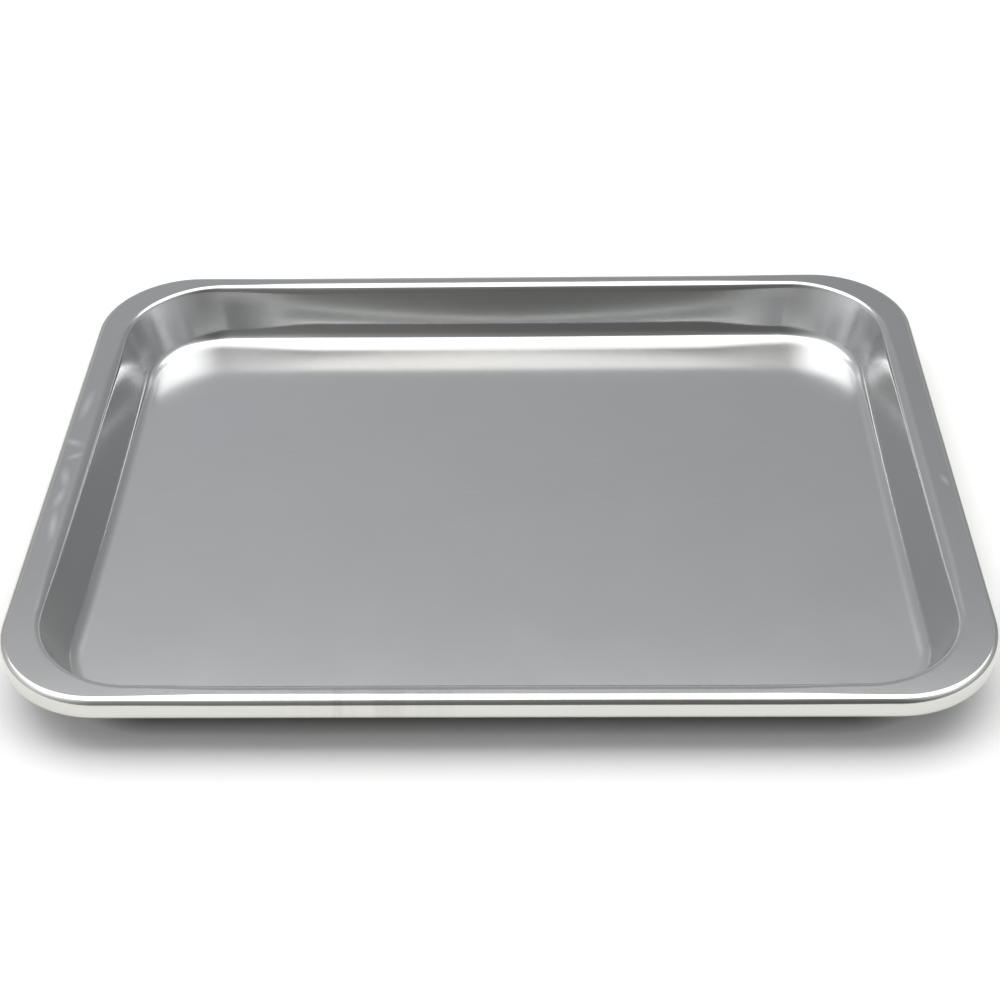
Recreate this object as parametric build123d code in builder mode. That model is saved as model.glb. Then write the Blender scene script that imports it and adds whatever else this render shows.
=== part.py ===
"""Rectangular stainless steel cookie sheet with a rolled rim closed around a wire."""
from build123d import *
import os
from math import atan2, cos, radians, sin, tan

# Overall size
tray_length = 400.0
tray_depth = 300.0
tray_height = 27.5
outer_corner_radius = 45.5

# Sheet steel
sheet = 0.6

# Flange: its flat part along the two ends and along the two long sides
end_flange_flat = 5.8
side_flange_flat = 1.4

# Mouth: its bend, and its corner where flange and wall would meet in a sharp edge
mouth_bend_radius = 6.5
mouth_corner_radius = 41.9

# Wall and floor
wall_run = 9.4
floor_corner_radius = 36.0
floor_bend_radius = 5.5

# Rolled rim: gentle roll, tight edge, upright skirt, and a curl closed round a wire
roll_radius = 6.0
edge_radius = 3.0
skirt_height = 4.3
wire_diameter = 4.0
wire_clearance = 0.05
wire_end_gap = 1.5

# Angles in degrees
roll_angle = 27.0
curl_angle = 260.0
quarter_turn = 90.0

# Section of the wall and its bends
wall_turn = atan2(tray_height - sheet, wall_run)
wall_thickness = sheet / sin(wall_turn)
mouth_bend_reach = mouth_bend_radius * tan(wall_turn / 2)

# Section of the rim, counted from its outer edge and top
roll_turn = radians(roll_angle)
roll_width = roll_radius * sin(roll_turn) + edge_radius * (1 - sin(roll_turn))
edge_depth = roll_radius * (1 - cos(roll_turn)) + edge_radius * cos(roll_turn)
curl_depth = edge_depth + skirt_height
wire_radius = wire_diameter / 2
bore_radius = wire_radius + wire_clearance
curl_radius = bore_radius + sheet

# Half sizes of the rim, the mouth and the floor
half_length = tray_length / 2
half_depth = tray_depth / 2
mouth_half_length = half_length - roll_width - end_flange_flat - mouth_bend_reach
mouth_half_depth = half_depth - roll_width - side_flange_flat - mouth_bend_reach
floor_half_length = mouth_half_length - wall_run
floor_half_depth = mouth_half_depth - wall_run

# Straight runs between the corners
corner_x = half_length - outer_corner_radius
corner_y = half_depth - outer_corner_radius


def outline(height, half_x, half_y, corner_radius):
    """Rounded rectangle at a height, centred on the tray."""
    with BuildSketch(Plane.XY.offset(height)) as face:
        RectangleRounded(2 * half_x, 2 * half_y, corner_radius)
    return face.sketch


def bowl(base_height, skin, base_bend_radius):
    """Solid up to the tray's top with the slope of the walls, larger than the inside by the skin."""
    base = outline(base_height, floor_half_length + skin, floor_half_depth + skin, floor_corner_radius + skin)
    top = outline(tray_height, mouth_half_length + skin, mouth_half_depth + skin, mouth_corner_radius + skin)
    with BuildPart() as solid:
        loft(sections=[base, top], ruled=True)
        fillet(solid.faces().sort_by(Axis.Z)[0].edges(), base_bend_radius)
    return solid.part


def rim_profile(plane):
    """Section of the rolled sheet, with the rim's outer edge and top at the plane's origin."""
    roll_centre = (-roll_width, -roll_radius)
    edge_centre = (-edge_radius, -edge_depth)
    curl_centre = (-curl_radius, -curl_depth)
    edge_start = quarter_turn - roll_angle
    with BuildSketch(plane) as profile:
        with BuildLine():
            roll = CenterArc(roll_centre, roll_radius, quarter_turn, -roll_angle)
            inner_roll = CenterArc(roll_centre, roll_radius - sheet, quarter_turn, -roll_angle)
            edge = CenterArc(edge_centre, edge_radius, edge_start, -edge_start)
            inner_edge = CenterArc(edge_centre, edge_radius - sheet, edge_start, -edge_start)
            curl = CenterArc(curl_centre, curl_radius, 0, -curl_angle)
            bore = CenterArc(curl_centre, bore_radius, 0, -curl_angle)
            Line(edge @ 1, curl @ 0)
            Line(curl @ 1, bore @ 1)
            Line(bore @ 0, inner_edge @ 1)
            Line(inner_roll @ 0, roll @ 0)
        make_face()
    return profile.sketch


def wire_profile(plane):
    """Round section of the wire inside the curl."""
    with BuildSketch(plane) as profile:
        with Locations((-curl_radius, -curl_depth)):
            Circle(wire_radius)
    return profile.sketch


def rim_ring(profile_on, gap):
    """Profile carried round the rim, open by the gap at the middle of the back side."""
    along_back = Plane(origin=(gap / 2, half_depth, tray_height), x_dir=(0, 1, 0), z_dir=(1, 0, 0))
    back_turn = Plane(origin=(corner_x, half_depth, tray_height), x_dir=(0, 1, 0), z_dir=(1, 0, 0))
    along_end = Plane(origin=(half_length, corner_y, tray_height), x_dir=(1, 0, 0), z_dir=(0, -1, 0))
    front_turn = Plane(origin=(half_length, -corner_y, tray_height), x_dir=(1, 0, 0), z_dir=(0, -1, 0))
    along_front = Plane(origin=(corner_x, -half_depth, tray_height), x_dir=(0, -1, 0), z_dir=(-1, 0, 0))
    back_axis = Axis((corner_x, corner_y, 0), (0, 0, 1))
    front_axis = Axis((corner_x, -corner_y, 0), (0, 0, 1))
    with BuildPart() as ring:
        extrude(profile_on(along_back), amount=corner_x - gap / 2)
        revolve(profile_on(back_turn), axis=back_axis, revolution_arc=-quarter_turn)
        extrude(profile_on(along_end), amount=2 * corner_y)
        revolve(profile_on(front_turn), axis=front_axis, revolution_arc=-quarter_turn)
        extrude(profile_on(along_front), amount=corner_x)
        mirror(about=Plane.YZ)
    return ring.part


# Flat flange, out to where the roll starts
flange_half_length = half_length - roll_width
flange_half_depth = half_depth - roll_width
flange_corner_radius = outer_corner_radius - roll_width
flange_top = outline(tray_height, flange_half_length, flange_half_depth, flange_corner_radius)

# Outside and inside of the floor and walls
outer_bowl = bowl(0, wall_thickness, floor_bend_radius + sheet)
cavity = bowl(sheet, 0, floor_bend_radius)

# Roll, edge, skirt and curl
rolled_rim = rim_ring(rim_profile, 0)

with BuildPart() as pressed_tray:
    extrude(flange_top, amount=-sheet)
    add(outer_bowl)
    add(cavity, mode=Mode.SUBTRACT)
    under_face = pressed_tray.faces().filter_by(Plane.XY).group_by(Axis.Z)[-2].face()
    fillet(under_face.inner_wires().edges(), mouth_bend_radius - sheet)
    top_face = pressed_tray.faces().sort_by(Axis.Z)[-1]
    fillet(top_face.inner_wires().edges(), mouth_bend_radius)
    add(rolled_rim)
pressed_tray.part.label = "pressed_tray"

with BuildPart() as rim_wire:
    add(rim_ring(wire_profile, wire_end_gap))
rim_wire.part.label = "rim_wire"

os.makedirs("parts", exist_ok=True)
export_step(pressed_tray.part, "parts/pressed_tray.step")
export_step(rim_wire.part, "parts/rim_wire.step")
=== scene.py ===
"""Stainless steel cookie sheet on a white table, seen from above its front side."""
import math

import bpy
import numpy as np
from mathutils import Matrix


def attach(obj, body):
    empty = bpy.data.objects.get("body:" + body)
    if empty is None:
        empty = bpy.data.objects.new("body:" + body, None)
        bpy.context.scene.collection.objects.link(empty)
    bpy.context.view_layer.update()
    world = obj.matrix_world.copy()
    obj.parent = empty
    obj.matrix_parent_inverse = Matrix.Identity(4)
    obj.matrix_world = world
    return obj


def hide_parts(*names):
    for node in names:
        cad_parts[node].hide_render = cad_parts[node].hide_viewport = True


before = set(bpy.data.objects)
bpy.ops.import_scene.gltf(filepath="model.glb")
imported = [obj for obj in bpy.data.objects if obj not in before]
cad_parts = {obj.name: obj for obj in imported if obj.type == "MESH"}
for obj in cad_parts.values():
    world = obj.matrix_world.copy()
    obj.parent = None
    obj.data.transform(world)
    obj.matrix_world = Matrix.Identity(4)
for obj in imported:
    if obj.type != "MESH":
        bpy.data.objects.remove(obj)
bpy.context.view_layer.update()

MM = 0.001

# ---------------------------------------------------------------- sizes in mm
HALF_X, HALF_Y, TOP, RIM_CORNER = 200.0, 150.0, 27.5, 45.5
SHEET = 0.6
END_FLAT, SIDE_FLAT = 5.8, 1.4
MOUTH_CORNER, MOUTH_BEND = 41.9, 6.5
WALL_RUN = 9.4
FLOOR_CORNER = 36.0
ROLL, EDGE, ROLL_TURN = 6.0, 3.0, math.radians(27)
SKIRT = 4.3
CURL, CURL_TURN = 2.65, math.radians(260)
WALL_TURN = math.atan2(TOP - SHEET, WALL_RUN)
ROLL_WIDTH = ROLL * math.sin(ROLL_TURN) + EDGE * (1 - math.sin(ROLL_TURN))
MOUTH_X = HALF_X - ROLL_WIDTH - END_FLAT - MOUTH_BEND * math.tan(WALL_TURN / 2)
MOUTH_Y = HALF_Y - ROLL_WIDTH - SIDE_FLAT - MOUTH_BEND * math.tan(WALL_TURN / 2)
FLOOR_X, FLOOR_Y = MOUTH_X - WALL_RUN, MOUTH_Y - WALL_RUN

# Press marks: radii along the long sides, the ends and the corners, and how far
# the foot of each wall stands out at its corners and in again at its middle
BEND_LONG, BEND_END, BEND_CORNER = 5.4, 5.0, 2.4
ROLL_LONG, ROLL_END, ROLL_CORNER = 6.0, 3.4, 2.8
FOOT_LONG, FOOT_END, FOOT_CORNER = 12.0, 5.8, 6.0
STAND_OUT, STAND_IN_LONG, STAND_IN_END = 1.3, 1.3, 0.9
# Slight hollow of the walls between their bends
HOLLOW = 0.09
# Soft unevenness of the walls and of the roll: height in mm, seed, waves round the loop
WAVE, ROLL_WAVE = 0.035, 0.25
FOOT_SEED, MOUTH_SEED, ROLL_SEED = 3, 4, 5
FOOT_WAVES, MOUTH_WAVES, ROLL_WAVES = range(2, 13), range(2, 11), range(3, 17)
# A radius reaches its full change over this share of a straight, and this much of it
# is left at the corner's end
EASE, LEFT_AT_CORNER = 0.16, 0.35

# Rows of the mesh, round the loop and across the section
CORNER_STEPS, LONG_STEPS, END_STEPS = 28, 72, 60
FOOT_ROWS, LIP_ROWS, ROLL_ROWS, EDGE_ROWS, CURL_ROWS = 16, 14, 6, 12, 26
FLOOR_SHARES = (0.08, 0.2, 0.35, 0.5, 0.65, 0.8, 0.9, 0.96, 0.985, 0.995)
WALL_SHARES = (0.02, 0.1, 0.2, 0.3, 0.4, 0.5, 0.6, 0.7, 0.8, 0.9, 0.98)
FLANGE_SHARES = (0.04, 0.5, 0.96)
SKIRT_SHARES = (0.05, 0.5, 0.95)
FLOOR_MARGIN = 0.35
# How fast the corners' rougher finish fades toward the middle of the floor
CORNER_FADE = 16
QUARTER, FULL = 90.0, math.tau


def loop_params():
    """(corner, angle, share, straight) round the rim; share runs along a straight."""
    out = []
    for k in range(4):
        for i in range(CORNER_STEPS + 1):
            out.append((k, QUARTER * (k + i / CORNER_STEPS), 0.0, False))
        steps = LONG_STEPS if k % 2 == 0 else END_STEPS
        for i in range(1, steps):
            out.append((k, QUARTER * (k + 1), i / steps, True))
    return out


PARAMS = loop_params()
SIGNS = ((1, 1), (-1, 1), (-1, -1), (1, -1))
ANGLES = np.radians([p[1] for p in PARAMS])
NORMALS = np.column_stack([np.cos(ANGLES), np.sin(ANGLES)])


def ring(a, b, r):
    """Rounded rectangle of half sizes a and b and corner radius r."""
    pts = []
    for k, angle, t, straight in PARAMS:
        c, s = math.cos(math.radians(angle)), math.sin(math.radians(angle))
        sx, sy = SIGNS[k]
        p = (sx * (a - r) + r * c, sy * (b - r) + r * s)
        if straight:
            nx, ny = SIGNS[(k + 1) % 4]
            q = (nx * (a - r) + r * c, ny * (b - r) + r * s)
            p = (p[0] + (q[0] - p[0]) * t, p[1] + (q[1] - p[1]) * t)
        pts.append(p)
    return np.array(pts)


def along(long_side, end, corner):
    """A value that changes smoothly from the corners to the long sides and the ends."""
    out = []
    for k, angle, t, straight in PARAMS:
        if straight:
            near = min(1.0, min(t, 1 - t) / EASE)
            share = LEFT_AT_CORNER + (1 - LEFT_AT_CORNER) * near * near * (3 - 2 * near)
            value = long_side if k % 2 == 0 else end
        else:
            turn = angle / QUARTER - k
            first, last = (end, long_side) if k % 2 == 0 else (long_side, end)
            value = first if turn < 0.5 else last
            share = LEFT_AT_CORNER * (2 * turn - 1) ** 2
        out.append(corner + (value - corner) * share)
    return np.array(out)


def stand_in():
    """How far the wall's foot stands in at each point of the loop."""
    out = []
    for k, _, t, straight in PARAMS:
        size_here = STAND_IN_LONG if k % 2 == 0 else STAND_IN_END
        out.append(size_here * math.sin(math.pi * t) - STAND_OUT if straight else -STAND_OUT)
    return np.array(out)


def wave(seed, waves):
    """Smooth random unevenness round the loop, between about -1 and 1."""
    rng = np.random.default_rng(seed)
    s = np.linspace(0, FULL, len(PARAMS), endpoint=False)
    total = sum(rng.normal() * np.sin(n * s + rng.uniform(0, FULL)) / math.sqrt(n) for n in waves)
    return total / np.abs(total).max()


def stations():
    """Loops of the upper skin from the floor's edge to the curl's end: points, normals, zone."""
    one = np.ones(len(PARAMS))
    bend = along(BEND_LONG, BEND_END, BEND_CORNER)
    foot_bend = along(FOOT_LONG, FOOT_END, FOOT_CORNER)
    roll = along(ROLL_LONG, ROLL_END, ROLL_CORNER) + ROLL_WAVE * wave(ROLL_SEED, ROLL_WAVES)
    foot_inset = stand_in() + WAVE * wave(FOOT_SEED, FOOT_WAVES)
    foot = ring(FLOOR_X, FLOOR_Y, FLOOR_CORNER) - NORMALS * foot_inset[:, None]
    mouth_offset = WAVE * wave(MOUTH_SEED, MOUTH_WAVES)
    mouth = ring(MOUTH_X, MOUTH_Y, MOUTH_CORNER) + NORMALS * mouth_offset[:, None]
    span = mouth - foot
    run = (span * NORMALS).sum(1)
    slide = span - NORMALS * run[:, None]
    rise = TOP - SHEET
    turn = np.arctan2(rise, run)
    loops = []

    def put(u, z, nu, nz, zone):
        share = np.clip((z - SHEET) / rise, 0, 1)[:, None]
        xy = foot + NORMALS * u[:, None] + slide * share
        loops.append((np.column_stack([xy, z]), np.column_stack([NORMALS * nu[:, None], nz]), zone))

    cut = foot_bend * np.tan(turn / 2)
    put(-cut - FLOOR_MARGIN, SHEET * one, 0 * one, one, 0.0)
    for i in range(FOOT_ROWS + 1):
        a = turn * i / FOOT_ROWS
        z = SHEET + foot_bend * (1 - np.cos(a))
        put(-cut + foot_bend * np.sin(a), z, -np.sin(a), np.cos(a), i / FOOT_ROWS)
    lip = bend * np.tan(turn / 2)
    length = np.hypot(run, rise)
    for share in WALL_SHARES:
        d = cut + (length - cut - lip) * share
        lift = HOLLOW * 4 * share * (1 - share)
        u = d * np.cos(turn) - lift * np.sin(turn)
        put(u, SHEET + d * np.sin(turn) + lift * np.cos(turn), -np.sin(turn), np.cos(turn), 1.0)
    for i in range(LIP_ROWS + 1):
        a = turn * (1 - i / LIP_ROWS)
        z = TOP - bend * (1 - np.cos(a))
        put(run + lip - bend * np.sin(a), z, -np.sin(a), np.cos(a), 1.0 + i / LIP_ROWS)
    inner = loops[-1][0][:, :2]
    edge_line = ring(HALF_X, HALF_Y, RIM_CORNER)
    width = roll * math.sin(ROLL_TURN) + EDGE * (1 - math.sin(ROLL_TURN))
    outer = edge_line - NORMALS * width[:, None]
    up = np.column_stack([0 * one, 0 * one, one])
    for share in FLANGE_SHARES:
        loops.append((np.column_stack([inner + (outer - inner) * share, TOP * one]), up, 2.0))
    depth = roll * (1 - math.cos(ROLL_TURN)) + EDGE * math.cos(ROLL_TURN)
    curl_depth = ROLL * (1 - math.cos(ROLL_TURN)) + EDGE * math.cos(ROLL_TURN) + SKIRT

    def rim(inset, drop, turned):
        xy = edge_line - NORMALS * (inset * one)[:, None]
        facing = np.column_stack([NORMALS * math.sin(turned), math.cos(turned) * one])
        loops.append((np.column_stack([xy, TOP - drop * one]), facing, 3.0))

    for i in range(ROLL_ROWS + 1):
        a = ROLL_TURN * i / ROLL_ROWS
        rim(width - roll * math.sin(a), roll * (1 - math.cos(a)), a)
    for i in range(1, EDGE_ROWS + 1):
        a = ROLL_TURN + (math.pi / 2 - ROLL_TURN) * i / EDGE_ROWS
        rim(EDGE * (1 - math.sin(a)), depth - EDGE * math.cos(a), a)
    for share in SKIRT_SHARES:
        rim(0, depth + (curl_depth - depth) * share, math.pi / 2)
    for i in range(CURL_ROWS + 1):
        a = CURL_TURN * i / CURL_ROWS
        rim(CURL * (1 - math.cos(a)), curl_depth + CURL * math.sin(a), math.pi / 2 + a)
    return loops


def tray_mesh():
    """Pressed sheet: upper skin, lower skin one sheet below it, closed at the curl's end."""
    loops = stations()
    n = len(PARAMS)
    edge = loops[0][0]
    floor_rings = []
    for share in FLOOR_SHARES:
        pts = edge.copy()
        pts[:, :2] *= share
        floor_rings.append((pts, np.tile((0.0, 0.0, 1.0), (n, 1)), 0.0))
    corner_share = along(0.0, 0.0, 1.0)
    inward = [share ** CORNER_FADE for share in FLOOR_SHARES] + [1.0] * len(loops)
    all_loops = floor_rings + loops
    top = np.array([p for p, _, _ in all_loops])
    nor = np.array([q for _, q, _ in all_loops])
    zone = np.repeat([z for _, _, z in all_loops], n)
    under = top - nor * SHEET
    count = len(all_loops)
    centre = [[0, 0, SHEET], [0, 0, 0]]
    verts = np.concatenate([top.reshape(-1, 3), under.reshape(-1, 3), centre]) * MM
    shift = count * n
    centre_top, centre_under = 2 * shift, 2 * shift + 1
    faces = []
    for i in range(count - 1):
        for j in range(n):
            k = (j + 1) % n
            a, b, c, d = i * n + j, i * n + k, (i + 1) * n + k, (i + 1) * n + j
            faces.append((a, d, c, b))
            faces.append((a + shift, b + shift, c + shift, d + shift))
    last = (count - 1) * n
    for j in range(n):
        k = (j + 1) % n
        faces.append((j, k, centre_top))
        faces.append((k + shift, j + shift, centre_under))
        faces.append((last + j, last + j + shift, last + k + shift, last + k))
    mesh = bpy.data.meshes.new("tray_sheet")
    mesh.from_pydata(verts.tolist(), [], faces)
    mesh.update()
    mesh.polygons.foreach_set("use_smooth", [True] * len(mesh.polygons))
    corner = np.concatenate([corner_share * share for share in inward])
    for name, half in (("zone", zone), ("corner", corner)):
        values = np.concatenate([half, half, [0.0, 0.0]]).astype(np.float32)
        mesh.attributes.new(name, "FLOAT", "POINT").data.foreach_set("value", values)
    obj = bpy.data.objects.new("tray_sheet", mesh)
    bpy.context.scene.collection.objects.link(obj)
    return obj


tray = tray_mesh()
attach(tray, "root")
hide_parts("pressed_tray")


# ---------------------------------------------------------------- node helpers
class Graph:
    """Short names for the nodes of one node tree."""

    def __init__(self, tree):
        self.nodes, self.links = tree.nodes, tree.links

    def feed(self, socket, value):
        if isinstance(value, bpy.types.NodeSocket):
            self.links.new(value, socket)
        else:
            socket.default_value = value

    def math(self, operation, *inputs, clamp=False):
        node = self.nodes.new("ShaderNodeMath")
        node.operation, node.use_clamp = operation, clamp
        for i, value in enumerate(inputs):
            self.feed(node.inputs[i], value)
        return node.outputs[0]

    def ramp(self, value, stops):
        node = self.nodes.new("ShaderNodeValToRGB")
        elements = node.color_ramp.elements
        while len(elements) < len(stops):
            elements.new(0.5)
        for element, (position, tone) in zip(elements, stops):
            element.position = position
            element.color = (*tone, 1) if isinstance(tone, tuple) else (tone, tone, tone, 1)
        self.feed(node.inputs[0], value)
        return node.outputs[0]

    def stretched(self, vector, scale):
        node = self.nodes.new("ShaderNodeMapping")
        self.feed(node.inputs["Vector"], vector)
        node.inputs["Scale"].default_value = scale
        return node.outputs[0]

    def noise(self, vector, scale, detail=3.0, rough=0.5):
        node = self.nodes.new("ShaderNodeTexNoise")
        self.feed(node.inputs["Vector"], vector)
        node.inputs["Scale"].default_value = scale
        node.inputs["Detail"].default_value = detail
        node.inputs["Roughness"].default_value = rough
        return node.outputs[0]

    def tinted(self, first, second):
        node = self.nodes.new("ShaderNodeMix")
        node.data_type, node.blend_type = "RGBA", "MULTIPLY"
        node.inputs["Factor"].default_value = 1.0
        self.feed(node.inputs[6], first)
        self.feed(node.inputs[7], second)
        return node.outputs[2]

    def spot(self, vector, x, y, half_x, half_y, turn=0.0):
        """1 at a place on the tray, in mm, falling to 0 at an ellipse round it."""
        node = self.nodes.new("ShaderNodeMapping")
        node.vector_type = "TEXTURE"
        self.feed(node.inputs["Vector"], vector)
        node.inputs["Location"].default_value = (x * MM, y * MM, 0)
        node.inputs["Rotation"].default_value = (0, 0, math.radians(turn))
        node.inputs["Scale"].default_value = (half_x * MM, half_y * MM, 1)
        length = self.nodes.new("ShaderNodeVectorMath")
        length.operation = "LENGTH"
        self.feed(length.inputs[0], node.outputs[0])
        return self.math("SUBTRACT", 1.0, length.outputs["Value"], clamp=True)

    def bump(self, height, distance, normal=None):
        node = self.nodes.new("ShaderNodeBump")
        node.inputs["Distance"].default_value = distance
        self.feed(node.inputs["Height"], height)
        if normal is not None:
            self.feed(node.inputs["Normal"], normal)
        return node.outputs[0]


def new_material(name):
    mat = bpy.data.materials.new(name)
    mat.use_nodes = True
    return mat, Graph(mat.node_tree), mat.node_tree.nodes["Principled BSDF"]


# ---------------------------------------------------------------- steel of the tray
steel, g, shader = new_material("tray_steel")
place = g.nodes.new("ShaderNodeTexCoord").outputs["Object"]
attributes = {}
for name in ("zone", "corner"):
    attributes[name] = g.nodes.new("ShaderNodeAttribute")
    attributes[name].attribute_name = name
zone = g.math("DIVIDE", attributes["zone"].outputs["Fac"], 3.0)
below_flange = g.ramp(zone, ((0.45, 1.0), (0.66, 0.0)))
corner = g.math("MULTIPLY", attributes["corner"].outputs["Fac"], below_flange)
toward_back = g.nodes.new("ShaderNodeSeparateXYZ")
g.feed(toward_back.inputs[0], place)
back_share = g.math("MULTIPLY_ADD", toward_back.outputs[1], 5.0, 0.5, clamp=True)
floor_soft = g.math("MULTIPLY", g.ramp(zone, ((0.0, 1.0), (0.3, 0.0))), g.math("SUBTRACT", 1.0, back_share))
corner = g.math("MULTIPLY", corner, g.math("SUBTRACT", 1.0, floor_soft))
# One steel sheet with a tone per zone: the walls and flange are darkened as painted shade, and the rim is
# lightened as painted highlight, not a change in the metal
FLOOR_TONE, WALL_SHADED_TONE, FLANGE_SHADED_TONE, RIM_HIGHLIGHT_TONE = 0.645, 0.62, 0.545, 0.68
CORNER_ROUGH, MOTTLE_ROUGH = 0.13, 0.03
FLOOR_ROUGH, WALL_ROUGH, FLANGE_ROUGH, RIM_ROUGH = 0.15, 0.105, 0.16, 0.11
base = g.ramp(zone, ((0, FLOOR_TONE), (0.33, WALL_SHADED_TONE), (0.45, WALL_SHADED_TONE), (0.66, FLANGE_SHADED_TONE),
                     (0.80, FLANGE_SHADED_TONE), (0.97, RIM_HIGHLIGHT_TONE)))
rough = g.ramp(zone, ((0, FLOOR_ROUGH), (0.2, WALL_ROUGH), (0.5, WALL_ROUGH), (0.64, FLANGE_ROUGH),
                      (0.80, FLANGE_ROUGH), (0.97, RIM_ROUGH)))
flange = g.ramp(zone, ((0.58, 0.0), (0.66, 1.0), (0.72, 1.0), (0.90, 0.0)))
floor_share = g.ramp(zone, ((0.0, 1.0), (0.25, 0.0)))

# Noise scales are per metre; a stretched one runs along the tray's long sides
MOTTLE, CLOUD, FINE, SWELL = 22.0, 6.0, 2600.0, 14.0
GRAIN, HAIRLINES, STREAKS = (35.0, 1400.0, 1400.0), (9.0, 700.0, 700.0), (230.0, 9.0, 9.0)
HAIRLINE_STOPS = ((0.68, 0.0), (0.74, 1.0))
STREAK_STOPS = ((0.42, 0.0), (0.64, 1.0))
mottle = g.noise(place, MOTTLE, 4.0, 0.6)
cloud = g.noise(place, CLOUD, 2.0)
grain = g.noise(g.stretched(place, GRAIN), 1.0, 2.0)
fine = g.noise(place, FINE, 1.0)
hairline = g.noise(g.stretched(place, HAIRLINES), 1.0, 5.0, 0.7)
scratches = g.math("MULTIPLY", g.ramp(hairline, HAIRLINE_STOPS), floor_share)

# Marks: place, half sizes in mm and turn in degrees
SPECKS = ((-103.5, -108.9, 0.9, 0.7, 20), (-26.4, -68.9, 0.7, 0.6, -15), (61.0, -22.0, 0.5, 0.4, 40))
SMUDGES = (
    (-193.6, 12.0, 6.5, 3.0, -24), (-191.0, 2.0, 5.0, 2.4, 30), (-192.4, -13.0, 2.6, 9.0, 12),
    (-192.0, -27.0, 2.4, 9.0, -8), (-191.0, -46.0, 2.2, 12.0, 5), (-193.0, 40.0, 2.6, 14.0, -4),
    (194.1, -18.0, 1.8, 5.0, 14),
)
FRONT_RIM_MARKS = (-48.0, -147.0, 46.0, 7.0)
specks = g.spot(place, *SPECKS[0])
for speck in SPECKS[1:]:
    specks = g.math("MAXIMUM", specks, g.spot(place, *speck))
smudges = g.spot(place, *SMUDGES[0])
for smudge in SMUDGES[1:]:
    smudges = g.math("MAXIMUM", smudges, g.spot(place, *smudge))
smudges = g.math("MULTIPLY", smudges, flange)

streaks = g.ramp(g.noise(g.stretched(place, STREAKS), 1.0, 2.0), STREAK_STOPS)
rim_marks = g.math("MULTIPLY", streaks, g.spot(place, *FRONT_RIM_MARKS))

# How much each kind of mark changes the tone, and the tone without it
TONE_CHANGES = (
    (mottle, 0.035, 0.982), (rim_marks, -0.16, 1.0), (grain, 0.05, 0.975),
    (cloud, 0.04, 0.98), (specks, -0.55, 1.0), (smudges, 0.30, 1.0),
)
tone = base
for mark, change, rest in TONE_CHANGES:
    tone = g.math("MULTIPLY", tone, g.math("MULTIPLY_ADD", mark, change, rest))
CLOUD_TINTS = ((0.35, (1.0, 0.995, 0.985)), (0.65, (0.985, 0.995, 1.0)))
# The rim's warm cream tint is painted highlight colour, standing in for the warm light the rim reflects
RIM_HIGHLIGHT_TINTS = ((0.80, (1.0, 1.0, 1.0)), (1.0, (1.0, 0.99, 0.945)))
tint = g.ramp(cloud, CLOUD_TINTS)
painted_rim_warmth = g.ramp(zone, RIM_HIGHLIGHT_TINTS)
g.feed(shader.inputs["Base Color"], g.tinted(g.tinted(tint, painted_rim_warmth), tone))
shader.inputs["Metallic"].default_value = 1.0
roughness = g.math("SUBTRACT", rough, MOTTLE_ROUGH / 2)
ROUGH_CHANGES = (
    (mottle, MOTTLE_ROUGH), (scratches, 0.06), (smudges, 0.06), (corner, CORNER_ROUGH), (specks, 0.3),
)
for mark, change in ROUGH_CHANGES:
    roughness = g.math("MULTIPLY_ADD", mark, change, roughness)
g.feed(shader.inputs["Roughness"], roughness)
# Relief of each mark, in metres
SWELL_RELIEF = 0.0001
FINE_RELIEFS = ((grain, 0.0000012), (scratches, 0.0000012), (fine, 0.0000006))
relief = g.bump(g.noise(place, SWELL, 2.0), SWELL_RELIEF)
for mark, height in FINE_RELIEFS:
    relief = g.bump(mark, height, relief)
g.feed(shader.inputs["Normal"], relief)
tray.data.materials.append(steel)

# ---------------------------------------------------------------- drawn wire in the rim
wire_mat, g, shader = new_material("wire_steel")
place = g.nodes.new("ShaderNodeTexCoord").outputs["Object"]
rust = g.ramp(g.noise(place, 60.0, 5.0, 0.65), ((0.45, (0.50, 0.50, 0.50)), (0.75, (0.33, 0.27, 0.22))))
g.feed(shader.inputs["Base Color"], rust)
shader.inputs["Metallic"].default_value = 1.0
g.feed(shader.inputs["Roughness"], g.math("MULTIPLY_ADD", g.noise(place, 220.0, 3.0), 0.3, 0.25))
g.feed(shader.inputs["Normal"], g.bump(g.noise(place, 900.0, 2.0), 0.00002))
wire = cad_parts["rim_wire"]
wire.data.materials.clear()
wire.data.materials.append(wire_mat)

# ---------------------------------------------------------------- table
TABLE_HALF, TABLE_DROP = 6.0, 0.0002
SHADE_X, SHADE_Y, SHADE_CORNER, SHADE_EDGE = 0.135, 0.089, 0.040, 0.014
WHITE_FROM, WHITE_FULL = 0.30, 0.75
R = TABLE_HALF
table_mesh = bpy.data.meshes.new("table")
table_mesh.from_pydata([(-R, -R, 0), (R, -R, 0), (R, R, 0), (-R, R, 0)], [], [(0, 1, 2, 3)])
table = bpy.data.objects.new("table", table_mesh)
bpy.context.scene.collection.objects.link(table)
table.location = (0, 0, -TABLE_DROP)
table_mat, g, shader = new_material("table_white")
place = g.nodes.new("ShaderNodeTexCoord").outputs["Object"]
paper = g.ramp(g.noise(place, 3.0, 3.0), ((0.3, (0.925, 0.925, 0.92)), (0.7, (0.94, 0.94, 0.935))))
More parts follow.
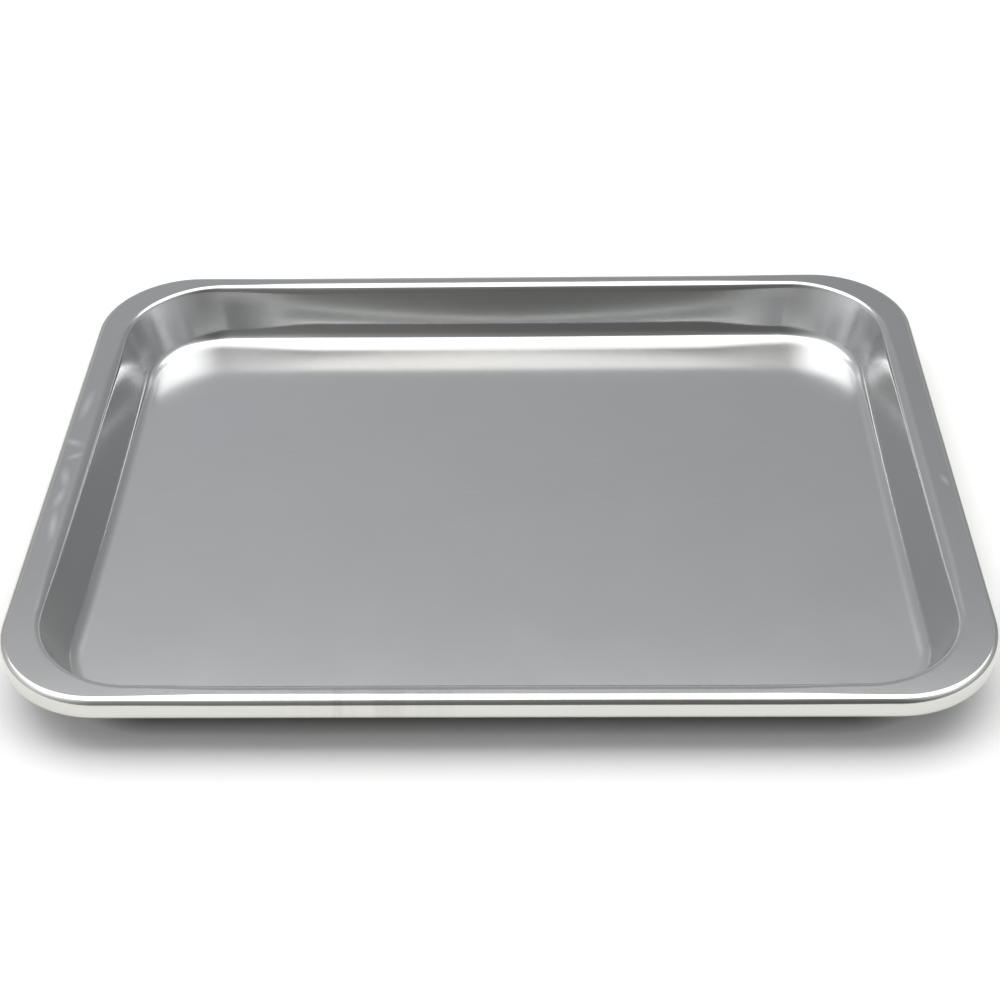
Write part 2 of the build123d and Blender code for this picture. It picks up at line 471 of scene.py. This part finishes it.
# Painted contact shade: the table's colour is darkened under and just round the tray, where hardly any
# light comes back
apart = g.nodes.new("ShaderNodeSeparateXYZ")
g.feed(apart.inputs[0], place)
out_x = g.math("MAXIMUM", g.math("SUBTRACT", g.math("ABSOLUTE", apart.outputs[0]), SHADE_X), 0.0)
out_y = g.math("MAXIMUM", g.math("SUBTRACT", g.math("ABSOLUTE", apart.outputs[1]), SHADE_Y), 0.0)
beside = g.math("SQRT", g.math("MULTIPLY_ADD", out_x, out_x, g.math("MULTIPLY", out_y, out_y)))
shade = g.math("DIVIDE", g.math("SUBTRACT", beside, SHADE_CORNER), SHADE_EDGE)
shade = g.math("ADD", shade, 0.1, clamp=True)
g.feed(shader.inputs["Base Color"], g.tinted(paper, shade))
g.feed(shader.inputs["Roughness"], g.math("MULTIPLY_ADD", g.noise(place, 40.0), 0.1, 0.55))
shader.inputs["Specular IOR Level"].default_value = 0.2
g.feed(shader.inputs["Normal"], g.bump(g.noise(place, 500.0, 2.0), 0.00002))
# Far from the tray the table is seen as plain white
faraway = g.nodes.new("ShaderNodeMapRange")
faraway.interpolation_type = "SMOOTHSTEP"
g.feed(faraway.inputs["Value"], beside)
faraway.inputs["From Min"].default_value = WHITE_FROM
faraway.inputs["From Max"].default_value = WHITE_FULL
path = g.nodes.new("ShaderNodeLightPath")
seen = g.math("MAXIMUM", path.outputs["Is Camera Ray"], path.outputs["Is Glossy Ray"])
white = g.nodes.new("ShaderNodeEmission")
white.inputs["Color"].default_value = (1, 1, 1, 1)
blend = g.nodes.new("ShaderNodeMixShader")
g.feed(blend.inputs[0], g.math("MULTIPLY", seen, faraway.outputs[0]))
g.feed(blend.inputs[1], shader.outputs[0])
g.feed(blend.inputs[2], white.outputs[0])
# From below the table is clear, so that the tray's underside can be seen
below = g.nodes.new("ShaderNodeMixShader")
g.feed(below.inputs[0], g.nodes.new("ShaderNodeNewGeometry").outputs["Backfacing"])
g.feed(below.inputs[1], blend.outputs[0])
g.feed(below.inputs[2], g.nodes.new("ShaderNodeBsdfTransparent").outputs[0])
g.feed(g.nodes["Material Output"].inputs["Surface"], below.outputs[0])
table_mesh.materials.append(table_mat)

# ---------------------------------------------------------------- room
# Tone of the room by azimuth, from the near side round by the left, far and right sides
AROUND = (
    (0.000, 0.17), (0.042, 0.24), (0.125, 0.50), (0.208, 0.74), (0.292, 0.66), (0.375, 0.48),
    (0.458, 0.54), (0.542, 0.45), (0.625, 0.35), (0.708, 0.47), (0.792, 0.50), (0.875, 0.33),
    (0.958, 0.14), (1.000, 0.17),
)
UPWARD = ((0, 0.5), (0.40, 0.5), (0.52, 0.55), (0.62, 0.72), (0.8, 0.82), (1, 0.85))
GLOW = ((0, 1.7), (0.012, 1.65), (0.022, 0.55), (0.034, 0.08), (0.06, 0.0))
# Brighter walls at half height on the left and right
SIDES = (
    (0.08, 0.0), (0.20, 1.0), (0.32, 0.9), (0.40, 0.0),
    (0.60, 0.0), (0.69, 0.8), (0.80, 1.0), (0.92, 0.0),
)
HALF_HEIGHT = ((0.30, 0.0), (0.44, 1.0), (0.62, 1.0), (0.80, 0.0))
SIDE_LIGHT = 0.42
TINTS = (
    (0.0, (1.0, 0.985, 0.965)), (0.25, (0.97, 0.99, 1.03)), (0.5, (0.97, 0.995, 1.02)),
    (0.75, (0.965, 0.99, 1.02)), (1.0, (1.0, 0.985, 0.965)),
)
world = bpy.data.worlds.new("room")
bpy.context.scene.world = world
world.use_nodes = True
g = Graph(world.node_tree)
background = g.nodes["Background"]
split = g.nodes.new("ShaderNodeSeparateXYZ")
g.feed(split.inputs[0], g.nodes.new("ShaderNodeTexCoord").outputs["Generated"])
dx, dy, dz = split.outputs
level = g.math("SQRT", g.math("MULTIPLY_ADD", dx, dx, g.math("MULTIPLY", dy, dy)))
azimuth = g.math("MULTIPLY_ADD", g.math("ARCTAN2", dx, dy), 1 / FULL, 0.5)
elevation = g.math("MULTIPLY", g.math("ARCTAN2", dz, level), 2 / math.pi, clamp=True)
around = g.ramp(azimuth, AROUND)
upward = g.ramp(elevation, UPWARD)
glow = g.ramp(elevation, GLOW)
strength = g.math("MULTIPLY_ADD", g.math("MULTIPLY", around, 2.0), upward, glow)
sides = g.math("MULTIPLY", g.ramp(azimuth, SIDES), g.ramp(elevation, HALF_HEIGHT))
strength = g.math("MULTIPLY_ADD", sides, SIDE_LIGHT, strength)
g.feed(background.inputs["Strength"], strength)
g.feed(background.inputs["Color"], g.ramp(azimuth, TINTS))

# ---------------------------------------------------------------- softbox and camera
SOFTBOX_RADIANCE = 2.0
BOX_X, BOX_Y, BOX_HEIGHT, BOX_CENTRE = 2.4, 1.27, 1.3, 0.325
lamp_data = bpy.data.lights.new("softbox", "AREA")
lamp_data.shape = "RECTANGLE"
lamp_data.size, lamp_data.size_y = BOX_X, BOX_Y
lamp_data.color = (1.0, 0.99, 0.965)
# A one-sided area lamp shows a radiance of energy / (pi * area)
lamp_data.energy = SOFTBOX_RADIANCE * math.pi * BOX_X * BOX_Y
lamp = bpy.data.objects.new("softbox", lamp_data)
bpy.context.scene.collection.objects.link(lamp)
lamp.location = (0, BOX_CENTRE, BOX_HEIGHT)

cam_data = bpy.data.cameras.new("camera")
cam_data.sensor_width, cam_data.lens = 36.0, 63.291
cam_data.clip_start, cam_data.clip_end = 0.01, 50
cam = bpy.data.objects.new("camera", cam_data)
bpy.context.scene.collection.objects.link(cam)
cam.location = (0.016629, -0.613886, 0.515293)
cam.rotation_euler = (math.radians(50.12), math.radians(0.997), math.radians(0.764))
bpy.context.scene.camera = cam
bpy.context.scene.view_settings.view_transform = "Standard"
